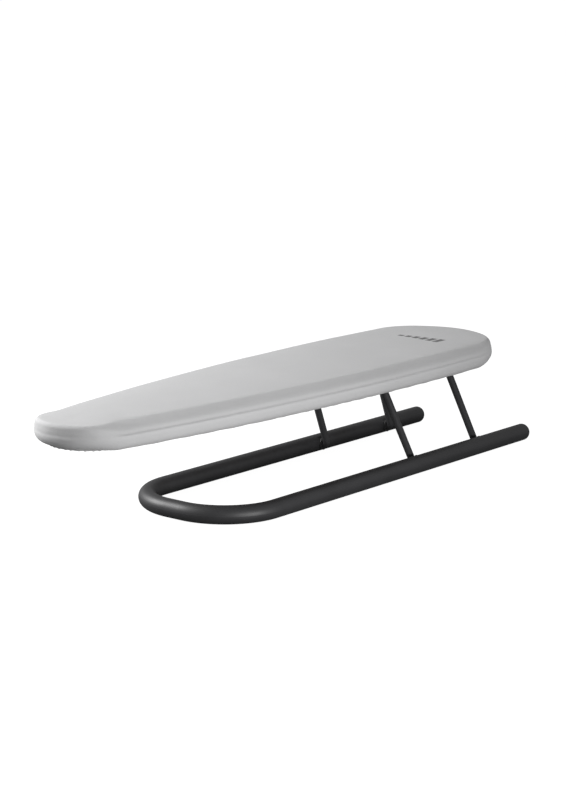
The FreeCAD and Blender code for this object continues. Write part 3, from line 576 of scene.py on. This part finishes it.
def make_tape(settings):
    """Twill tape with a line of stitches along its outer edge."""
    recipe = Recipe("hem_tape_twill", settings.tape, 0.9, specular=0.25)
    pattern = recipe.cloth_map()
    ribs = recipe.waves(recipe.scaled(pattern, (1.0, 1.0, 1.0), turn=(0, 0, math.radians(45))),
                        math.pi / 10 / (1.1 * MM), "X", 0.4)
    parts = recipe.add("SeparateXYZ")
    recipe.join(pattern, parts.inputs[0])
    along, across = parts.outputs["X"], parts.outputs["Y"]
    run = recipe.sum("FRACT", recipe.sum("DIVIDE", along, 3.2 * MM))
    on_run = recipe.sum("LESS_THAN", run, 0.74)
    offset = recipe.sum("ABSOLUTE", recipe.sum("SUBTRACT", across, 4.6 * MM))
    on_line = recipe.sum("LESS_THAN", offset, 0.3 * MM)
    stitch = recipe.sum("MULTIPLY", on_run, on_line)
    fuzz = recipe.grain(pattern, 420.0, 3.0)
    cloth = recipe.blend(recipe.sum("MULTIPLY", ribs, 0.4), shade(settings.tape, 1.04),
                         shade(settings.tape, 0.8))
    cloth = recipe.blend(recipe.spread(fuzz, 0.0, 0.25, 0.4, 0.7), cloth, shade(settings.tape, 1.2))
    recipe.colour(recipe.blend(stitch, cloth, tuple(settings.thread)))
    recipe.bump(recipe.sum("ADD", recipe.sum("MULTIPLY", ribs, 0.5), stitch), 0.3 * MM, 0.8)
    recipe.shader.inputs["Sheen Weight"].default_value = 0.15
    return recipe.material


def make_elastic():
    colour = (0.78, 0.78, 0.77)
    recipe = Recipe("braided_elastic", colour, 0.8, specular=0.3)
    place = recipe.place()
    ribs = recipe.waves(place, math.pi / 10 / (1.0 * MM), "DIAGONAL", 0.3)
    recipe.colour(recipe.blend(ribs, shade(colour, 0.75), colour))
    recipe.bump(ribs, 0.2 * MM, 0.6)
    return recipe.material


def make_coat(name, colour, roughness):
    """Satin powder coat with its fine orange peel and faint handling marks."""
    recipe = Recipe(name, colour, roughness, specular=0.5)
    place = recipe.place()
    peel = recipe.grain(place, 900.0, 2.0, 0.4)
    fine = recipe.grain(place, 2600.0, 2.0)
    rubbed = recipe.grain(place, 26.0, 5.0)
    recipe.colour(recipe.blend(recipe.spread(rubbed, 0.0, 1.0, 0.35, 0.7), shade(colour, 0.92),
                               shade(colour, 1.12)))
    uneven = recipe.sum("MULTIPLY_ADD", fine, 0.35, recipe.sum("MULTIPLY", rubbed, 0.65))
    recipe.gloss(recipe.spread(uneven, roughness - 0.05, roughness + 0.07, 0.3, 0.7))
    recipe.bump(recipe.sum("MULTIPLY_ADD", fine, 0.3, peel), 0.05 * MM, 0.5)
    return recipe.material


def make_moulded(name, colour, roughness):
    """Spark-textured moulded plastic."""
    recipe = Recipe(name, colour, roughness, specular=0.45)
    place = recipe.place()
    spark = recipe.grain(place, 1500.0, 3.0)
    flow = recipe.grain(place, 60.0, 3.0)
    recipe.colour(recipe.blend(flow, shade(colour, 0.9), shade(colour, 1.15)))
    recipe.gloss(recipe.spread(spark, roughness - 0.05, roughness + 0.08, 0.3, 0.7))
    recipe.bump(spark, 0.06 * MM, 0.6)
    return recipe.material


def make_fibreboard(colour):
    """Pressed fibreboard: short fibres, dark flecks and a faint sanding grain."""
    recipe = Recipe("pressed_fibreboard", colour, 0.78, specular=0.3)
    place = recipe.place()
    fibres = recipe.grain(recipe.scaled(place, (1.0, 2.6, 1.0)), 330.0, 5.0, 0.65)
    clouds = recipe.grain(place, 22.0, 3.0)
    flecks = recipe.cells(place, 420.0).outputs["Distance"]
    tone = recipe.sum("ADD", recipe.sum("MULTIPLY", fibres, 0.65), recipe.sum("MULTIPLY", clouds, 0.35))
    wood = recipe.blend(recipe.spread(tone, 0.0, 1.0, 0.35, 0.65), shade(colour, 0.72), shade(colour, 1.25))
    speck = recipe.spread(flecks, 0.55, 0.0, 0.0, 0.22)
    recipe.colour(recipe.blend(speck, wood, shade(colour, 0.35)))
    recipe.gloss(recipe.spread(tone, 0.7, 0.88, 0.35, 0.65))
    recipe.bump(fibres, 0.12 * MM, 0.6)
    return recipe.material


def make_plated(name, colour, roughness, spangle):
    """Zinc-plated steel with a faint spangle and drawing marks."""
    recipe = Recipe(name, colour, roughness, metallic=1.0)
    place = recipe.place()
    cells = recipe.cells(place, spangle)
    marks = recipe.grain(recipe.scaled(place, (1.0, 9.0, 1.0)), 240.0, 3.0)
    grey = recipe.add("RGBToBW")
    recipe.join(cells.outputs["Color"], grey.inputs[0])
    tone = recipe.sum("ADD", recipe.sum("MULTIPLY", grey.outputs[0], 0.6),
                      recipe.sum("MULTIPLY", marks, 0.4))
    recipe.colour(recipe.blend(tone, shade(colour, 0.82), shade(colour, 1.12)))
    recipe.gloss(recipe.spread(tone, roughness - 0.08, roughness + 0.1, 0.2, 0.8))
    recipe.bump(marks, 0.03 * MM, 0.4)
    return recipe.material


def dress(names, material):
    """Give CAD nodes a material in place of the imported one."""
    for name in names:
        slots = NODES[name].material_slots
        if not slots:
            raise RuntimeError(name + " has no material slot")
        for slot in slots:
            slot.material = material


# ---------------------------------------------------------------- operators

class SLEEVE_OT_cover(bpy.types.Operator):
    """Padded cover over the foam and felt, drawn under the panel"""
    bl_idname = "sleeve.cover"
    bl_label = "Padded cover"

    def execute(self, context):
        settings = context.scene.sleeve_cover
        slack = settings.swell * SLACK_SHARE
        piece, held = build_cover(settings, slack)
        inflate(piece, held, settings.swell)
        finer = piece.modifiers.new("finer", "SUBSURF")
        finer.levels = finer.render_levels = 1
        settle_modifiers(piece)
        ruck(piece)
        rest = piece.modifiers.new("rest", "SHRINKWRAP")
        rest.target = NODES["board_core"]
        rest.wrap_mode = "OUTSIDE"
        rest.offset = PANEL_GAP
        even = piece.modifiers.new("even", "SMOOTH")
        even.factor, even.iterations = 0.5, 4
        wall = piece.modifiers.new("wall", "SOLIDIFY")
        wall.thickness = CLOTH_WALL
        wall.offset = -1.0
        settle_modifiers(piece)
        piece.data.materials.append(make_cloth(settings))
        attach(piece, "board")
        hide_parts("cover", "foam_pad", "felt_underlay")
        return {"FINISHED"}


class SLEEVE_OT_hem(bpy.types.Operator):
    """Gathered tape casing that holds the elastic under the panel"""
    bl_idname = "sleeve.hem"
    bl_label = "Gathered hem"

    def execute(self, context):
        settings, cover = context.scene.sleeve_hem, context.scene.sleeve_cover
        outline = Outline(cover.nose_radius, cover.widest)
        count, corners = 2 * AROUND, 12
        perimeter = 2 * outline.half_length
        puckers = round(perimeter / settings.pucker_pitch)
        inset = HEM_LOW.x - COVER_LOW.x + 3 * MM
        middle = (HEM_LOW.z + HEM_HIGH.z) / 2
        shape = bmesh.new()
        flat = shape.loops.layers.uv.new("cloth")
        pattern = {}
        ring = first = start_ring(shape, count)
        for corner in range(corners):
            if corner:
                ring = next_ring(shape, ring)
            turn = 2 * math.pi * corner / corners
            wide, high = math.cos(turn), math.sin(turn)
            for index, vert in enumerate(ring):
                share = index / count
                centre, radius, outward = outline.at(share)
                way = share * perimeter / (20 * MM)
                wander = noise.noise(Vector((way, 0.0, 3.0)))
                wander += 0.5 * noise.noise(Vector((way * 2, 0.0, 8.0)))
                fold = math.sin(2 * math.pi * puckers * share + 2.5 * wander)
                tip = smooth_step(*TIP_RANGE, abs(outward.x))
                lift = settings.pucker * fold * mix(0.5, 1.0, tip)
                across = 3.1 * MM * math.copysign(abs(wide) ** 0.6, wide)
                rise = 1.45 * MM * math.copysign(abs(high) ** 0.75, high)
                down = max(-high, 0.0)
                spot = centre + outward * (radius - inset - across - 0.25 * lift)
                vert.co = (spot.x, spot.y, middle - 0.1 * MM + rise - abs(lift) * down + 0.3 * lift * down)
                pattern[vert] = (share * perimeter, (corner / corners) * 14 * MM)
        bmesh.ops.bridge_loops(shape, edges=ring_edges(shape, ring) + ring_edges(shape, first))
        for face in shape.faces:
            seam = max(pattern[loop.vert][0] for loop in face.loops) > perimeter * 0.9
            for loop in face.loops:
                along, across = pattern[loop.vert]
                loop[flat].uv = (along + (perimeter if seam and along < perimeter * 0.1 else 0), across)
        piece = finish_mesh(shape, "gathered_hem")
        piece.data.materials.append(make_tape(settings))
        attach(piece, "board")
        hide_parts("hem_binding")
        dress(("hem_elastic",), make_elastic())
        return {"FINISHED"}


class SLEEVE_OT_base(bpy.types.Operator):
    """Powder coat of the base tube, moulded caps and nylon bushes"""
    bl_idname = "sleeve.base"
    bl_label = "Base, caps and bushes"

    def execute(self, context):
        settings = context.scene.sleeve_metal
        dress(("base_tube",), make_coat("satin_tube_coat", settings.coat, 0.5))
        dress([side + "_end_cap" for side in SIDES], make_moulded("moulded_cap", settings.cap, 0.44))
        dress(["_".join((bail, side, "bush")) for bail in BAILS for side in SIDES],
              make_moulded("black_nylon_bush", settings.nylon, 0.5))
        return {"FINISHED"}


class SLEEVE_OT_bails(bpy.types.Operator):
    """Powder coat of the two wire bails"""
    bl_idname = "sleeve.bails"
    bl_label = "Wire bails"

    def execute(self, context):
        settings = context.scene.sleeve_metal
        dress([bail + "_bail" for bail in BAILS], make_coat("satin_wire_coat", settings.wire_coat, 0.42))
        return {"FINISHED"}


class SLEEVE_OT_underside(bpy.types.Operator):
    """Fibreboard panel, plated saddles and their screws"""
    bl_idname = "sleeve.underside"
    bl_label = "Panel and saddles"

    def execute(self, context):
        settings = context.scene.sleeve_metal
        dress(("board_core",), make_fibreboard(settings.board))
        saddles = ["_".join((bail, side, "saddle")) for bail in BAILS for side in SIDES]
        dress(saddles, make_plated("zinc_plated_saddle", settings.zinc, 0.36, 260.0))
        dress([name + "_screws" for name in saddles],
              make_plated("plated_screw_steel", settings.steel, 0.3, 500.0))
        return {"FINISHED"}


def glow(name, colour, strength, grey):
    """A matt stage surface that also gives off a little light."""
    material = bpy.data.materials.new(name)
    material.use_nodes = True
    shader = material.node_tree.nodes["Principled BSDF"]
    shader.inputs["Base Color"].default_value = (grey, grey, grey, 1.0)
    shader.inputs["Roughness"].default_value = 1.0
    shader.inputs["Specular IOR Level"].default_value = 0.0
    shader.inputs["Emission Color"].default_value = (*colour, 1.0)
    shader.inputs["Emission Strength"].default_value = strength
    return material


def lay_floor(name, height, material):
    shape = bmesh.new()
    bmesh.ops.create_grid(shape, x_segments=1, y_segments=1, size=60.0)
    bmesh.ops.translate(shape, vec=(0, 0, height), verts=shape.verts)
    mesh = bpy.data.meshes.new(name)
    shape.to_mesh(mesh)
    shape.free()
    mesh.materials.append(material)
    piece = bpy.data.objects.new(name, mesh)
    bpy.context.scene.collection.objects.link(piece)
    return piece


def add_softbox(name, place, aim, width, height, power):
    light = bpy.data.lights.new(name, "AREA")
    light.shape = "RECTANGLE"
    light.size, light.size_y = width, height
    light.energy = power
    box = bpy.data.objects.new(name, light)
    box.location = place
    box.rotation_mode = "QUATERNION"
    box.rotation_quaternion = (Vector(aim) - Vector(place)).to_track_quat("-Z", "Y")
    box.visible_camera = False
    bpy.context.scene.collection.objects.link(box)
    return box


class SLEEVE_OT_stage(bpy.types.Operator):
    """Pale floor, soft lights and the camera"""
    bl_idname = "sleeve.stage"
    bl_label = "Stage"

    def execute(self, context):
        scene, settings = context.scene, context.scene.sleeve_stage
        scene.view_settings.view_transform = "Standard"
        world = bpy.data.worlds.new("studio")
        world.use_nodes = True
        back = world.node_tree.nodes["Background"]
        back.inputs["Color"].default_value = (1.0, 1.0, 1.0, 1.0)
        back.inputs["Strength"].default_value = 0.32
        scene.world = world
        seen = lay_floor("pale_floor", -0.0002, glow("pale_floor", (1, 1, 1), 0.98, 0.15))
        seen.visible_diffuse = seen.visible_glossy = seen.visible_shadow = False
        bounce = lay_floor("floor_bounce", -0.0004, glow("floor_bounce", (1, 1, 1), 0.03, 0.12))
        bounce.visible_camera = False
        add_softbox("key", (-0.56, 0.9, 0.66), (-0.18, 0.0, 0.1), 0.6, 0.5, 21.0)
        add_softbox("fill", (-0.27, -0.84, 0.1), (-0.08, 0.0, 0.1), 0.4, 0.13, 5.3)
        data = bpy.data.cameras.new("camera")
        data.sensor_width = 36.0
        data.lens = settings.lens
        camera = bpy.data.objects.new("camera", data)
        turn, rise = settings.azimuth, settings.elevation
        away = Vector((math.sin(turn) * math.cos(rise), -math.cos(turn) * math.cos(rise), math.sin(rise)))
        camera.location = Vector(settings.target) + away * settings.distance
        camera.rotation_mode = "QUATERNION"
        camera.rotation_quaternion = (-away).to_track_quat("-Z", "Y")
        scene.collection.objects.link(camera)
        scene.camera = camera
        return {"FINISHED"}


# ---------------------------------------------------------------- panel and main

OPERATORS = (SLEEVE_OT_cover, SLEEVE_OT_hem, SLEEVE_OT_base, SLEEVE_OT_bails, SLEEVE_OT_underside,
             SLEEVE_OT_stage)
SETTINGS = (("sleeve_cover", CoverSettings), ("sleeve_hem", HemSettings),
            ("sleeve_metal", MetalSettings), ("sleeve_stage", StageSettings))


class SLEEVE_PT_panel(bpy.types.Panel):
    """Buttons and sizes of the sleeve board"""
    bl_idname = "SLEEVE_PT_panel"
    bl_label = "Sleeve board"
    bl_space_type = "VIEW_3D"
    bl_region_type = "UI"
    bl_category = "Sleeve board"

    def draw(self, context):
        for operator in OPERATORS:
            self.layout.operator(operator.bl_idname)
        for name, group in SETTINGS:
            box = self.layout.box()
            for entry in group.__annotations__:
                box.prop(getattr(context.scene, name), entry)


def register():
    for _, group in SETTINGS:
        bpy.utils.register_class(group)
    for item in (*OPERATORS, SLEEVE_PT_panel):
        bpy.utils.register_class(item)
    for name, group in SETTINGS:
        setattr(bpy.types.Scene, name, bpy.props.PointerProperty(type=group))


def unregister():
    for name, _ in SETTINGS:
        delattr(bpy.types.Scene, name)
    for item in (SLEEVE_PT_panel, *reversed(OPERATORS)):
        bpy.utils.unregister_class(item)
    for _, group in reversed(SETTINGS):
        bpy.utils.unregister_class(group)


def main():
    register()
    bpy.ops.sleeve.cover()
    bpy.ops.sleeve.hem()
    bpy.ops.sleeve.base()
    bpy.ops.sleeve.bails()
    bpy.ops.sleeve.underside()
    bpy.ops.sleeve.stage()


if __name__ == "__main__":
    main()
